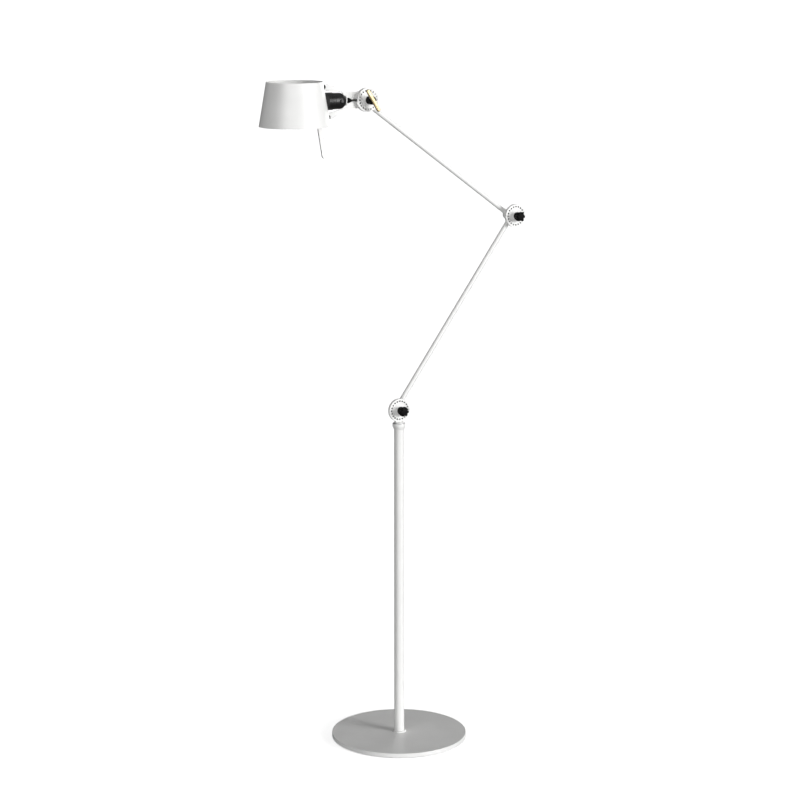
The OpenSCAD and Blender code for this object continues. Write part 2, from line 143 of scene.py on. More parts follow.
def finish_of(name, dark, light, rough, grain, grain_depth, metallic=0.0, coat=0.0, stretch=None,
              wear=None, specular=0.5):
    """A material with two close tones, uneven roughness, a fine grain and, if asked, small worn flecks."""
    nodes = Nodes(name)
    shader = nodes.shader
    shader.inputs["Metallic"].default_value = metallic
    shader.inputs["Coat Weight"].default_value = coat
    shader.inputs["Coat Roughness"].default_value = 0.15
    shader.inputs["Specular IOR Level"].default_value = specular
    tone = nodes.ramp(nodes.noise(18, 4), dark, light)
    if wear:
        flecks = nodes.ramp(nodes.noise(260, 6, roughness=0.7), (0, 0, 0), (1, 1, 1), 0.68, 0.74)
        mix = nodes.add("ShaderNodeMix")
        mix.data_type = "RGBA"
        nodes.link(flecks, mix.inputs["Factor"])
        nodes.link(tone, mix.inputs["A"])
        mix.inputs["B"].default_value = (*wear, 1)
        tone = mix.outputs["Result"]
    nodes.link(tone, shader.inputs["Base Color"])
    nodes.link(nodes.spread(nodes.noise(45, 5), rough[0], rough[1]), shader.inputs["Roughness"])
    fine = nodes.bump(nodes.noise(grain, 2, stretch), 0.25, grain_depth)
    wide = nodes.bump(nodes.noise(grain / 12, 2), 0.08, grain_depth * 3, fine)
    nodes.link(wide, shader.inputs["Normal"])
    return nodes.material


FINISH = {
    "white_paint": finish_of("white_powder_coat", (0.80, 0.80, 0.79), (0.84, 0.84, 0.83), (0.36, 0.46),
                             1500, 0.00006),
    "shade_paint": finish_of("white_shade_coat", (0.81, 0.81, 0.80), (0.85, 0.85, 0.84), (0.34, 0.44),
                             1300, 0.00006),
    "zinc_steel": finish_of("zinc_steel", (0.50, 0.50, 0.51), (0.62, 0.62, 0.63), (0.28, 0.42),
                            900, 0.00005, metallic=1, stretch=(1, 6, 1), wear=(0.4, 0.4, 0.41)),
    "black_moulding": finish_of("black_thermoset", (0.004, 0.004, 0.0045), (0.007, 0.007, 0.0075),
                                (0.36, 0.44), 700, 0.00002, specular=0.4),
    "black_knob": finish_of("black_knob", (0.0015, 0.0015, 0.0017), (0.003, 0.003, 0.0033), (0.40, 0.52),
                            1400, 0.00008, specular=0.07),
    "black_steel": finish_of("black_oxide", (0.005, 0.005, 0.0055), (0.01, 0.01, 0.011), (0.40, 0.52),
                             1000, 0.00005, wear=(0.03, 0.03, 0.03), specular=0.12),
    "black_rubber": finish_of("rubber", (0.018, 0.018, 0.018), (0.03, 0.03, 0.03), (0.7, 0.85),
                              1100, 0.0001, specular=0.3),
    "cable_sheath": finish_of("cable_sheath", (0.012, 0.012, 0.012), (0.02, 0.02, 0.02), (0.45, 0.6),
                              900, 0.00005, specular=0.4),
    "friction_ring": finish_of("dark_fibre", (0.012, 0.012, 0.012), (0.024, 0.024, 0.023), (0.6, 0.8),
                               800, 0.0001, specular=0.2),
    "brass": finish_of("turned_brass", (0.36, 0.29, 0.16), (0.46, 0.38, 0.23), (0.36, 0.48),
                       1200, 0.00004, metallic=1, stretch=(1, 1, 8), wear=(0.34, 0.25, 0.14)),
    "porcelain": finish_of("porcelain", (0.80, 0.79, 0.76), (0.86, 0.85, 0.82), (0.1, 0.2),
                           200, 0.00008, coat=0.5),
    "bulb_glass": finish_of("opal_glass", (0.86, 0.86, 0.84), (0.90, 0.90, 0.88), (0.08, 0.14),
                            120, 0.00005, coat=0.6),
    "bulb_cap": finish_of("bright_cap", (0.70, 0.70, 0.71), (0.80, 0.80, 0.81), (0.2, 0.32),
                          900, 0.00004, metallic=1, wear=(0.5, 0.5, 0.5)),
}

# ---------- mesh helpers ----------


def span(node):
    """(lowest corner, highest corner) of a CAD node in millimetres."""
    low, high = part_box(node)
    return low / MM, high / MM


def centre(node):
    low, high = span(node)
    return (low + high) / 2


def rounded(points, radius, closed=False, steps=4):
    """The outline with its corners rounded. A point may carry its own radius as a third number."""
    out, count = [], len(points)
    for i, point in enumerate(points):
        here = Vector(point[:2])
        size = point[2] if len(point) > 2 else radius
        if size <= 0 or (not closed and i in (0, count - 1)):
            out.append(tuple(here))
            continue
        before = Vector(points[i - 1][:2]) - here
        after = Vector(points[(i + 1) % count][:2]) - here
        if before.length < 1e-6 or after.length < 1e-6:
            out.append(tuple(here))
            continue
        half = before.angle(after) / 2
        if half > 1.54:
            out.append(tuple(here))
            continue
        cut = min(size / math.tan(half), before.length * 0.49, after.length * 0.49)
        start, end = here + before.normalized() * cut, here + after.normalized() * cut
        for k in range(steps + 1):
            f = k / steps
            out.append(tuple(start * (1 - f) ** 2 + here * (2 * f * (1 - f)) + end * f**2))
    return out


def to_axis(axis, origin, a, b, t):
    """A point at (a, b) across an axis and t along it."""
    x, y, z = origin
    if axis == "X":
        return Vector((x + t, y + a, z + b)) * MM
    if axis == "Y":
        return Vector((x + a, y + t, z + b)) * MM
    return Vector((x + a, y + b, z + t)) * MM


def add_loft(bm, levels, axis, origin, seg=96, closed=False):
    """Rings round an axis joined into a skin. A level is (radius or radius at an angle, place along)."""
    rings = []
    for radius, t in levels:
        if not callable(radius) and radius < 1e-4:
            rings.append([bm.verts.new(to_axis(axis, origin, 0, 0, t))])
            continue
        ring = []
        for k in range(seg):
            angle = 2 * math.pi * k / seg
            r = radius(angle) if callable(radius) else radius
            ring.append(bm.verts.new(to_axis(axis, origin, r * math.cos(angle), r * math.sin(angle), t)))
        rings.append(ring)
    pairs = list(zip(rings, rings[1:]))
    if closed:
        pairs.append((rings[-1], rings[0]))
    for low, high in pairs:
        for k in range(seg):
            nxt = (k + 1) % seg
            if len(low) == 1 and len(high) == 1:
                continue
            if len(low) == 1:
                bm.faces.new((low[0], high[k], high[nxt]))
            elif len(high) == 1:
                bm.faces.new((low[k], low[nxt], high[0]))
            else:
                bm.faces.new((low[k], low[nxt], high[nxt], high[k]))


def add_turned(bm, profile, axis, origin, radius=0.4, seg=96, closed=False, steps=4):
    """A turned shape from its half outline as (radius, place along) points."""
    add_loft(bm, rounded(profile, radius, closed, steps), axis, origin, seg, closed)


def offset(loop, by):
    """The closed outline moved outwards by a distance, for an anticlockwise loop."""
    out, count = [], len(loop)
    for i in range(count):
        here = Vector(loop[i])
        d1 = (here - Vector(loop[i - 1])).normalized()
        d2 = (Vector(loop[(i + 1) % count]) - here).normalized()
        n1, n2 = Vector((d1.y, -d1.x)), Vector((d2.y, -d2.x))
        mid = n1 + n2
        mid = n1 if mid.length < 1e-6 else mid.normalized()
        out.append(here + mid * by / max(0.35, mid.dot(n1)))
    return out


def add_plate(bm, outer, holes, axis, origin, t0, t1, bevel=0.5, painted_shade_from=None):
    """A sheet with holes and softly rounded edges. outer and holes are anticlockwise outlines.

    From the hole number given by the last argument on, the walls get the second, darker material as painted
    shade; -1 is the outer wall.
    """
    levels = [(1.0, t0, 0.0), (0.29, t0, 0.29), (0.0, t0, 1.0),
              (0.0, t1, -1.0), (0.29, t1, -0.29), (1.0, t1, 0.0)]
    skins = []
    for number, (loop, way) in enumerate([(outer, -1)] + [(hole, 1) for hole in holes], start=-1):
        painted_shade_wall = painted_shade_from is not None and number >= painted_shade_from
        rows = []
        for inset, t, rise in levels:
            moved = offset(loop, way * inset * bevel)
            rows.append([bm.verts.new(to_axis(axis, origin, p[0], p[1], t + rise * bevel)) for p in moved])
        for low, high in zip(rows, rows[1:]):
            for k in range(len(loop)):
                nxt = (k + 1) % len(loop)
                face = bm.faces.new((low[k], low[nxt], high[nxt], high[k]))
                # walls from the chosen hole on take the second, darker material: painted shade
                face.material_index = 1 if painted_shade_wall else 0
        skins.append((rows, [offset(loop, way * bevel)]))
    flat = [[Vector((p[0], p[1], 0)) for p in skin[1][0]] for skin in skins]
    for side in (0, -1):
        verts = [v for skin in skins for v in skin[0][side]]
        for tri in tessellate_polygon(flat):
            bm.faces.new([verts[i] for i in tri])


def circle(radius, x=0.0, y=0.0, seg=48):
    return [(x + radius * math.cos(2 * math.pi * k / seg), y + radius * math.sin(2 * math.pi * k / seg))
            for k in range(seg)]


def arc(x, y, radius, start, end, steps=12):
    """Points on a circle from one angle to another, in degrees."""
    angles = [math.radians(start + (end - start) * k / steps) for k in range(steps + 1)]
    return [(x + radius * math.cos(a), y + radius * math.sin(a)) for a in angles]


def box_loop(x0, y0, x1, y1, radius):
    return rounded([(x0, y0), (x1, y0), (x1, y1), (x0, y1)], radius, closed=True, steps=5)


def piece(name, build, *nodes, second=None):
    """Builds a mesh with build(bm) and lets it stand for CAD nodes, riding on their body."""
    bm = bmesh.new()
    build(bm)
    bmesh.ops.remove_doubles(bm, verts=bm.verts, dist=1e-7)
    bmesh.ops.recalc_face_normals(bm, faces=bm.faces)
    mesh = bpy.data.meshes.new(name)
    bm.to_mesh(mesh)
    bm.free()
    mesh.shade_smooth()
    mesh.set_sharp_from_angle(angle=math.radians(50))
    obj = bpy.data.objects.new(name, mesh)
    scene.collection.objects.link(obj)
    slot = RECORD_SLOT[nodes[0]]
    mesh.materials.append(FINISH[slot])
    if second:
        mesh.materials.append(FINISH[second])
    weighted = obj.modifiers.new("even_normals", "WEIGHTED_NORMAL")
    weighted.keep_sharp = True
    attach(obj, BODY_OF[nodes[0]])
    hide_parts(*nodes)
    return obj


def bake(obj):
    """Applies the object's modifiers."""
    bpy.context.view_layer.update()
    evaluated = obj.evaluated_get(bpy.context.evaluated_depsgraph_get())
    mesh = bpy.data.meshes.new_from_object(evaluated)
    obj.modifiers.clear()
    obj.data = mesh


def drill(obj, cutters):
    """Cuts shapes out of a piece. A cutter is a function that builds a closed mesh."""
    tools = []
    for build in cutters:
        bm = bmesh.new()
        build(bm)
        bmesh.ops.recalc_face_normals(bm, faces=bm.faces)
        mesh = bpy.data.meshes.new("cutter")
        bm.to_mesh(mesh)
        bm.free()
        tool = bpy.data.objects.new("cutter", mesh)
        scene.collection.objects.link(tool)
        tools.append(tool)
        cut = obj.modifiers.new("cut", "BOOLEAN")
        cut.object, cut.operation, cut.solver = tool, "DIFFERENCE", "EXACT"
        obj.modifiers.move(len(obj.modifiers) - 1, 0)
    bake(obj)
    for tool in tools:
        bpy.data.objects.remove(tool)
    obj.data.set_sharp_from_angle(angle=math.radians(35))
    weighted = obj.modifiers.new("even_normals", "WEIGHTED_NORMAL")
    weighted.keep_sharp = True


# ---------- base and mast ----------

MAST_R = 12.5
MAST_WALL = 1.5
TONGUE_HALF = 11
GROMMET_R = 6.5
GROMMET_NECK_R = 4.0
GROMMET_BORE_R = 2.8
base_low, base_high = span("base_plate")
mast_low, mast_high = span("mast_tube")
O = (0, 0, 0)


def build_base(bm):
    r = base_high.x
    add_turned(bm, [(5, base_low.z, 0), (r, base_low.z, 0.6), (r, base_high.z, 1.4), (5, base_high.z, 0)],
               "Z", O, seg=192, closed=True, steps=6)


def build_pad(bm):
    low, high = span("base_pad")
    add_turned(bm, [(0, low.z), (high.x, low.z, 0.5), (high.x, high.z - 0.01, 0), (0, high.z - 0.01)],
               "Z", O, seg=160)


def build_flange(bm):
    low, high = span("foot_flange")
    add_turned(bm, [(MAST_R, low.z, 0), (high.x, low.z, 0.2), (high.x, high.z - 0.9, 0.8),
                    (high.x - 1.2, high.z, 0.5), (MAST_R + 0.5, high.z, 0.4), (MAST_R, high.z, 0)],
               "Z", O, closed=True)


def build_mast(bm):
    bore = MAST_R - MAST_WALL
    add_turned(bm, [(bore, mast_low.z, 0.2), (MAST_R, mast_low.z, 0.2), (MAST_R, mast_high.z, 0.4),
                    (bore, mast_high.z, 0.3)], "Z", O, seg=128, closed=True)


def build_collar(bm):
    low, high = span("mast_collar")
    add_turned(bm, [(MAST_R, low.z, 0.1), (MAST_R + 0.6, low.z, 0.3), (high.x, low.z + 8, 2.5),
                    (high.x, high.z, 1.0), (MAST_R, high.z, 0.2)], "Z", O, closed=True, steps=6)


def build_washer(bm):
    low, high = span("swivel_washer")
    add_turned(bm, [(11, low.z, 0.1), (high.x, low.z, 0.2), (high.x, high.z, 0.3), (11, high.z, 0.1)],
               "Z", O, closed=True)


def build_head(bm):
    disc_low, disc_high = span("mast_disc")
    neck_z, top_z = span("swivel_washer")[1].z + 0.2, disc_low.z - 0.3
    low = span("mast_head")[0]
    add_turned(bm, [(0, low.z), (10.95, low.z, 1), (10.95, neck_z, 0), (MAST_R, neck_z, 0.5),
                    (MAST_R, top_z, 0.6), (0, top_z)], "Z", O)
    radius = (disc_high.z - disc_low.z) / 2
    mid = (disc_high.z + disc_low.z) / 2
    wide = math.degrees(math.asin(TONGUE_HALF / radius))
    rim = arc(0, mid, radius - 0.05, 270 + wide, 270 - wide, 16)
    foot = [(-TONGUE_HALF, neck_z + 1), (TONGUE_HALF, neck_z + 1)]
    add_plate(bm, foot + rim, [], "Y", O, disc_low.y, disc_high.y, 0.35)


def build_inlet(bm):
    low, high = span("cable_inlet")
    where = (0, 0, (low.z + high.z) / 2)
    lip, seat = high.y - 0.1, 10.6
    add_turned(bm, [(GROMMET_BORE_R, lip, 0.4), (GROMMET_R, lip, 1.0), (GROMMET_R, seat, 0),
                    (GROMMET_NECK_R, seat, 0), (GROMMET_NECK_R, low.y, 0.5),
                    (GROMMET_BORE_R, low.y, 0.4)], "Y", where, closed=True)


piece("base_disc", build_base, "base_plate")
piece("base_felt", build_pad, "base_pad")
piece("foot_ring", build_flange, "foot_flange")
piece("mast_pipe", build_mast, "mast_tube")
piece("mast_cuff", build_collar, "mast_collar")
piece("swivel_ring", build_washer, "swivel_washer")
piece("mast_neck", build_head, "mast_head")
piece("mast_grommet", build_inlet, "cable_inlet")

# ---------- joints ----------

BOLT_R = 4
BOLT_HEAD_R = 7.5
BOLT_HEAD = 5
KNOB_BORE_R = 4.05
COLLAR_R = 10
RING_R = 26
BOSS_R = 13
ELBOW_PIN_R = 8
TIP_PIN_R = 7
FIT = 0.05
DISC_HOLES = 20
HOLE_CIRCLE_R = 22.8
HOLE_R = 1.7


def joint_disc(name, node, bore):
    """A perforated joint disc with softened edges and holes; the small holes' walls take black steel, painted
    shade that makes them read as dark dots.
    """
    low, high = span(node)
    mid = (low + high) / 2
    where = (mid.x, 0, mid.z)
    holes = [circle(bore, seg=48)]
    for k in range(DISC_HOLES):
        a = 2 * math.pi * k / DISC_HOLES
        holes.append(circle(HOLE_R, HOLE_CIRCLE_R * math.cos(a), HOLE_CIRCLE_R * math.sin(a), 20))
    outer = circle((high.x - low.x) / 2, seg=144)
    return piece(name, lambda bm: add_plate(bm, outer, holes, "Y", where, low.y, high.y, 0.3, 1), node,
                 second="black_steel")


def turned_y(name, node, profile, radius=0.4, extra=None):
    """A turned piece along Y through the middle of its node. profile gets the node's two Y ends."""
    low, high = span(node)
    mid = (low + high) / 2
    where = (mid.x, 0, mid.z)

    def build(bm):
        add_turned(bm, profile(low.y, high.y), "Y", where, radius, closed=True)
        if extra:
            extra(bm, where, low.y, high.y)

    return piece(name, build, node)


def hexagon(across):
    """The radius of a hexagon at an angle, for a loft's ring."""
    return lambda angle: across / 2 / math.cos((angle % (math.pi / 3)) - math.pi / 6)


def clamp_bolt(name, node):
    """A through bolt with a domed round head and a hexagon socket at its back."""
    low, high = span(node)
    mid = (low + high) / 2
    where = (mid.x, 0, mid.z)
    head_y = high.y - BOLT_HEAD

    def build(bm):
        shank = [(0, low.y), (BOLT_R - 0.6, low.y, 0.2), (BOLT_R, low.y + 0.8, 0.2), (BOLT_R, head_y, 0),
                 (BOLT_HEAD_R, head_y, 0.3), (BOLT_HEAD_R, high.y - 1.2, 1.6), (5.2, high.y, 0.8)]
        levels = rounded(shank, 0.3) + [(hexagon(6.2), high.y - 0.05), (hexagon(6.0), high.y - 0.4),
                                        (hexagon(6.0), high.y - 3.2), (0, high.y - 3.6)]
        add_loft(bm, levels, "Y", where, seg=72)

    return piece(name, build, node)


def lobes(low_r, high_r, count):
    """The outline radius of a star knob at an angle."""
    return lambda angle: low_r + (high_r - low_r) * (0.5 + 0.5 * math.cos(count * angle)) ** 0.62


def star_knob(name, node):
    """A six-lobed knob with a collar behind it and a domed face with an inset cap."""
    low, high = span(node)
    mid = (low + high) / 2
    where = (mid.x, 0, mid.z)
    front, back, face = low.y, high.y, high.y - 6.5
    star = (high.x - low.x) / 2

    def ring(scale):
        return lobes(8.5 * scale, star * scale, 6)

    def build(bm):
        add_turned(bm, [(KNOB_BORE_R, face - 0.5, 0), (COLLAR_R - 0.7, face - 0.5, 0),
                        (COLLAR_R - 0.7, face + 0.4, 0.3), (COLLAR_R, face + 1.0, 0.4),
                        (COLLAR_R, back, 0.6), (KNOB_BORE_R, back, 0.3)], "Y", where, closed=True)
        levels = [(0, face), (6.2, face), (ring(0.84), face - 0.05), (ring(0.94), face - 0.6),
                  (ring(0.985), face - 1.6), (ring(1.0), face - 3), (ring(1.0), front + 3.6),
                  (ring(0.985), front + 2.2), (ring(0.93), front + 1.0), (ring(0.84), front + 0.35),
                  (ring(0.72), front + 0.08), (5.6, front), (5.3, front + 0.1), (5.15, front + 0.5),
                  (4.95, front + 0.5), (4.7, front + 0.15), (3, front + 0.02), (0, front)]
        add_loft(bm, levels, "Y", where, seg=144)

    return piece(name, build, node)


joint_disc("shoulder_disc_front", "mast_disc", BOLT_R)
joint_disc("shoulder_disc_back", "lower_arm_foot_disc", BOLT_R + FIT)
joint_disc("elbow_disc_front", "upper_arm_elbow_disc", BOLT_R)
joint_disc("elbow_disc_back", "lower_arm_top_disc", ELBOW_PIN_R + FIT)
joint_disc("tip_disc_front", "upper_arm_tip_disc", BOLT_R)
joint_disc("tip_disc_back", "head_disc", TIP_PIN_R + FIT)


def flat_ring(bore, outer):
    return lambda y0, y1: [(bore, y0, 0.1), (outer, y0, 0.2), (outer, y1, 0.2), (bore, y1, 0.1)]


def cone(y0, y1):
    return [(BOLT_R, y0, 0.3), (7.9, y0, 0.7), (8.6, y0 + 0.9, 0.5), (16.6, y1 - 0.7, 0.5), (17, y1, 0.15),
            (BOLT_R, y1, 0.1)]


def welded_boss(bore):
    def profile(y0, y1):
        return [(bore, y0, 0.1), (BOSS_R, y0, 0.35), (BOSS_R, y1, 0.9), (bore + 0.6, y1, 0.3),
                (bore, y1 - 0.6, 0.2)]
    return profile


def pin_block(pin_r, block_y):
    def profile(y0, y1):
        return [(BOLT_R, y0, 0.1), (pin_r, y0, 0.2), (pin_r, block_y, 0), (BOSS_R, block_y, 0.5),
                (BOSS_R, y1, 0.9), (BOLT_R, y1, 0.1)]
    return profile


turned_y("shoulder_friction", "shoulder_washer", flat_ring(BOLT_R + FIT, RING_R))
turned_y("elbow_friction", "elbow_washer", flat_ring(ELBOW_PIN_R, RING_R))
turned_y("shoulder_cup", "shoulder_cone", cone)
turned_y("elbow_cup", "elbow_cone", cone)
turned_y("tip_cup", "tip_cone", cone)
turned_y("lower_arm_foot_boss", "lower_arm_foot", welded_boss(BOLT_R + FIT))
turned_y("lower_arm_top_boss", "lower_arm_top", welded_boss(ELBOW_PIN_R + FIT))
turned_y("upper_arm_elbow_block", "upper_arm_elbow",
         pin_block(ELBOW_PIN_R, span("lower_arm_top")[1].y + 0.2))
turned_y("upper_arm_tip_block", "upper_arm_tip", pin_block(TIP_PIN_R, span("head_disc")[1].y + 0.3))
clamp_bolt("shoulder_clamp", "shoulder_bolt")
clamp_bolt("elbow_clamp", "elbow_bolt")
clamp_bolt("tip_clamp", "tip_bolt")
star_knob("shoulder_star", "shoulder_knob")
star_knob("elbow_star", "elbow_knob")

# ---------- arms ----------

ARM_R = 6


def arm_tube(name, node, start, end):
    """A tube between two bosses, with a weld bead round each end."""
    y = centre(node).y
    first, last = centre(start), centre(end)
    foot = Vector((first.x, y, first.z))
    run = Vector((last.x, y, last.z)) - foot
    length, way = run.length, run.normalized()
    side = Vector((0, 1, 0))
    up = way.cross(side)
    seg = 64

    def reach(angle, extra):
        """How far along the tube the boss's round face is met at this angle."""
        across = (ARM_R + extra) * math.sin(angle)
        return math.sqrt(max(0.0, BOSS_R**2 - across**2))

    def build(bm):
        levels = [(1.15, -0.5), (1.25, 0.25), (0.95, 1.0), (0.35, 1.7), (0.0, 2.6)]
        rows = []
        for back in (False, True):
            for extra, along in (levels[::-1] if back else levels):
                row = []
                for k in range(seg):
                    a = 2 * math.pi * k / seg
                    ripple = 1 + 0.12 * math.sin(9 * a) if 0 < along < 2 else 1
                    r = ARM_R + extra * ripple
                    t = reach(a, extra) + along
                    t = length - t if back else t
                    row.append(bm.verts.new((foot + way * t + side * (r * math.cos(a))
                                             + up * (r * math.sin(a))) * MM))
                rows.append(row)
        for low, high in zip(rows, rows[1:]):
            for k in range(seg):
                nxt = (k + 1) % seg
                bm.faces.new((low[k], low[nxt], high[nxt], high[k]))
        bm.faces.new(rows[0])
        bm.faces.new(rows[-1])

    return piece(name, build, node)


arm_tube("lower_arm_pipe", "lower_arm_tube", "lower_arm_foot", "lower_arm_top")
arm_tube("upper_arm_pipe", "upper_arm_tube", "upper_arm_elbow", "upper_arm_tip")

# ---------- wing nut ----------

wing_low, wing_high = span("wing_bar")
hub_low, hub_high = span("wing_hub")
tip_mid = centre("upper_arm_tip_disc")
TIP = (tip_mid.x, 0, tip_mid.z)
WING_ANGLE = math.radians(32)
WING_LENGTH = 62
WING_WIDTH = 9.5
WING_HUB_R = 10
WING_PIN_R = 2.5


def build_wing_hub(bm):
    back = hub_high.y
    r = WING_HUB_R
    profile = [(0, back - 1), (KNOB_BORE_R, back - 1, 0), (KNOB_BORE_R, back, 0.1), (r - 0.8, back, 0.4),
               (r, back - 0.8, 0.3)]
    y = back - 3.4
    for _ in range(3):
        profile += [(r, y, 0.3), (r - 0.7, y - 0.5, 0.2), (r - 0.7, y - 1.1, 0.2), (r, y - 1.6, 0.3)]
        y -= 4.4
    profile += [(r, wing_high.y + 0.9, 0.5), (r - 0.9, wing_high.y, 0.3), (WING_PIN_R, wing_high.y, 0),
                (WING_PIN_R, hub_low.y, 0), (0, hub_low.y)]
    add_turned(bm, profile, "Y", TIP, 0.3)


def build_wing_bar(bm):
    half, end = WING_WIDTH / 2, (WING_LENGTH - WING_WIDTH) / 2
    outline = arc(0, end, half, 0, 180, 20) + arc(0, -end, half, 180, 360, 20)
    turned = [(x * math.cos(WING_ANGLE) - z * math.sin(WING_ANGLE),
               x * math.sin(WING_ANGLE) + z * math.cos(WING_ANGLE)) for x, z in outline]
    add_plate(bm, turned, [], "Y", TIP, wing_low.y, wing_high.y, 1.6)


piece("wing_hub_body", build_wing_hub, "wing_hub")
piece("wing_brass", build_wing_bar, "wing_bar")

# ---------- head ----------

shade_low, shade_high = span("lamp_shade")
shade_mid = (shade_low + shade_high) / 2
body_low, body_high = span("holder_body")
cap_low, cap_high = span("holder_cap")
AXIS = (0, (body_low.y + body_high.y) / 2, (body_low.z + body_high.z) / 2)
SHADE = (shade_mid.x, shade_mid.y, 0)
SHADE_LOW_R = (shade_high.x - shade_low.x) / 2
SHADE_TOP_R = 67
SHADE_WALL = 1.2
SHEET = 2.5
SKIRT_R = 19.5
HUB_R = 18
TAB_OFF = 1.7
TAB_HALF = 7
WEB_HALF = 11
FORK_NECK = 20
FORK_CORNER = 12
FORK_ROOM = 21.5
FORK_END_R = 15
SHANK_R = 2.5
HANDLE_HALF = 6.25
HANDLE_DROP = 80
SCREW_HEAD = 7
SCREW_R = 5
shade_slope = (SHADE_LOW_R - SHADE_TOP_R) / (shade_high.z - shade_low.z)


def wall_x(z):
    """The X of the shade's wall, on the lampholder's side, at a height."""
    return SHADE[0] + SHADE_LOW_R - (z - shade_low.z) * shade_slope


def build_hub(bm):
    low, high = span("head_hub")
    bore = TIP_PIN_R + FIT
    add_turned(bm, [(bore, low.y, 0.2), (HUB_R, low.y, 0.6), (HUB_R, high.y, 0.1), (bore, high.y, 0.1)],
               "Y", TIP, closed=True)


def build_bracket(bm):
    """A flat neck that forks round the lampholder, with tabs for the cable gland and the shade."""
    web = span("cable_gland")[0].x
    half_y = span("head_bracket")[1].y - AXIS[1]
    back = span("head_disc")[1].y
    where = (0, 0, AXIS[2])
    corner_x = web - SHEET + 0.2 - FORK_CORNER
    bolts = [z - AXIS[2] for z in bolt_heights()]
    tabs = [wall_x(z) + TAB_OFF for z in bolt_heights()]

    def half(side):
        z, x = bolts[0 if side > 0 else 1], tabs[0 if side > 0 else 1]
        inner = [(x, z - side * TAB_HALF), (corner_x, side * FORK_ROOM)]
        bend = [(corner_x + FORK_CORNER * math.sin(a),
                 side * (FORK_ROOM - FORK_CORNER + FORK_CORNER * math.cos(a)))
                for a in [math.radians(d) for d in range(0, 91, 10)]]
        outer = [(TIP[0], side * FORK_NECK), (web, side * FORK_NECK, 8), (web - 30, z + side * 3, 12),
                 (x, z + side * 8, 2)]
        return outer, inner + bend

    upper_out, upper_in = half(1)
    lower_out, lower_in = half(-1)
    outline = upper_out + upper_in + lower_in[::-1] + lower_out[::-1]
    outline = [(p[0], p[1], p[2] if len(p) > 2 else 0) for p in outline]
    outline += [(x, z, 0) for x, z in arc(TIP[0], 0, FORK_END_R, 270, 90, 24)]
    add_plate(bm, rounded(outline, 0, closed=True, steps=6), [], "Y", where, back, back + SHEET, 0.4)
    add_plate(bm, box_loop(-half_y, -WEB_HALF, half_y, WEB_HALF, 4), [], "X", AXIS, web - SHEET, web, 0.4)
    for z, x in zip(bolts, tabs):
        tab = box_loop(-half_y, z - TAB_HALF, half_y, z + TAB_HALF, 3)
        add_plate(bm, tab, [], "X", AXIS, x, x + SHEET, 0.4)


def build_gland(bm):
    low, high = span("cable_gland")
    levels = [(2.8, low.x), (hexagon(11.0), low.x), (hexagon(11.4), low.x + 0.5),
              (hexagon(11.4), low.x + 4.0), (5.9, low.x + 4.6), (6.3, low.x + 5.0)]
    x = low.x + 5.2
    while x < low.x + 8.4:
        levels += [(6.35, x), (6.35, x + 0.5), (6.0, x + 0.7), (6.0, x + 1.0)]
        x += 1.1
    levels += [(6.3, low.x + 8.8), (5.2, low.x + 11), (4.3, high.x - 0.8), (3.9, high.x), (2.8, high.x)]
    add_loft(bm, levels, "X", AXIS, seg=72, closed=True)


def build_nipple(bm):
    low, high = span("cable_nipple")
    add_turned(bm, [(3.3, low.x), (5, low.x), (5, high.x), (3.3, high.x)], "X", AXIS, 0.4, closed=True)


def build_cable(bm):
    low, high = span("head_cable")
    r = (high.z - low.z) / 2
    levels = [(0, low.x), (r, low.x)]
    steps = 14
    for k in range(1, steps):
        levels.append((r - 0.04 * (k % 2), low.x + (high.x - low.x) * k / steps))
    add_loft(bm, levels + [(r, high.x), (0, high.x)], "X", AXIS, seg=48)


def build_cap(bm):
    r = (cap_high.z - cap_low.z) / 2
    centre_x = cap_high.x - 17.5
    profile = [(r - 2.5, cap_low.x, 0), (r, cap_low.x, 0.3), (r, cap_low.x + 1.6, 0.2),
               (r - 0.5, cap_low.x + 2.0, 0.2), (r - 0.5, cap_low.x + 2.8, 0.2), (r, cap_low.x + 3.2, 0.3)]
    dome = [(r * math.cos(math.radians(a)), centre_x + r * math.sin(math.radians(a)), 0)
            for a in range(0, 61, 6)]
    profile += dome + [(r * 0.441, cap_high.x, 0.8), (5, cap_high.x, 0.2), (5, cap_high.x - 2.5, 0)]
    profile += [(r * 0.4, cap_high.x - 2.5, 0), (r - 2.5, centre_x, 0)]
    add_turned(bm, profile, "X", AXIS, 0.3, closed=True)


def build_body(bm):
    flange_r = (body_high.z - body_low.z) / 2
    x1, x0 = body_high.x, body_low.x
    flange_end = x1 - 15
    profile = [(SKIRT_R - 2.5, x1, 0), (flange_r, x1, 0.5)]
    x = x1 - 1.6
    while x > flange_end + 2.5:
        profile += [(flange_r, x, 0.2), (flange_r - 0.45, x - 0.35, 0.15), (flange_r - 0.45, x - 0.85, 0.15),
                    (flange_r, x - 1.2, 0.2)]
        x -= 2.4
    profile += [(flange_r, flange_end, 0.4), (SKIRT_R, flange_end, 0.2)]
    x = flange_end - 6
    while x > x0 + 8:
        profile += [(SKIRT_R, x, 0.2), (SKIRT_R - 0.5, x - 0.6, 0.2), (SKIRT_R - 0.5, x - 1.2, 0.2),
                    (SKIRT_R, x - 1.8, 0.2)]
        x -= 3.4
    profile += [(SKIRT_R, x0, 0.8), (SKIRT_R - 2.5, x0, 0.6)]
    add_turned(bm, profile, "X", AXIS, 0.3, closed=True)


def build_button(bm):
    low, high = span("switch_button")
    mid = (low + high) / 2
    add_turned(bm, [(0, low.y), (3.4, low.y + 0.15, 1.0), (5, low.y + 1.2, 0.8), (5, low.y + 8, 0.1),
                    (6.5, low.y + 8, 0.2), (6.5, high.y, 0.2), (0, high.y)], "Y", (mid.x, 0, mid.z), 0.3)


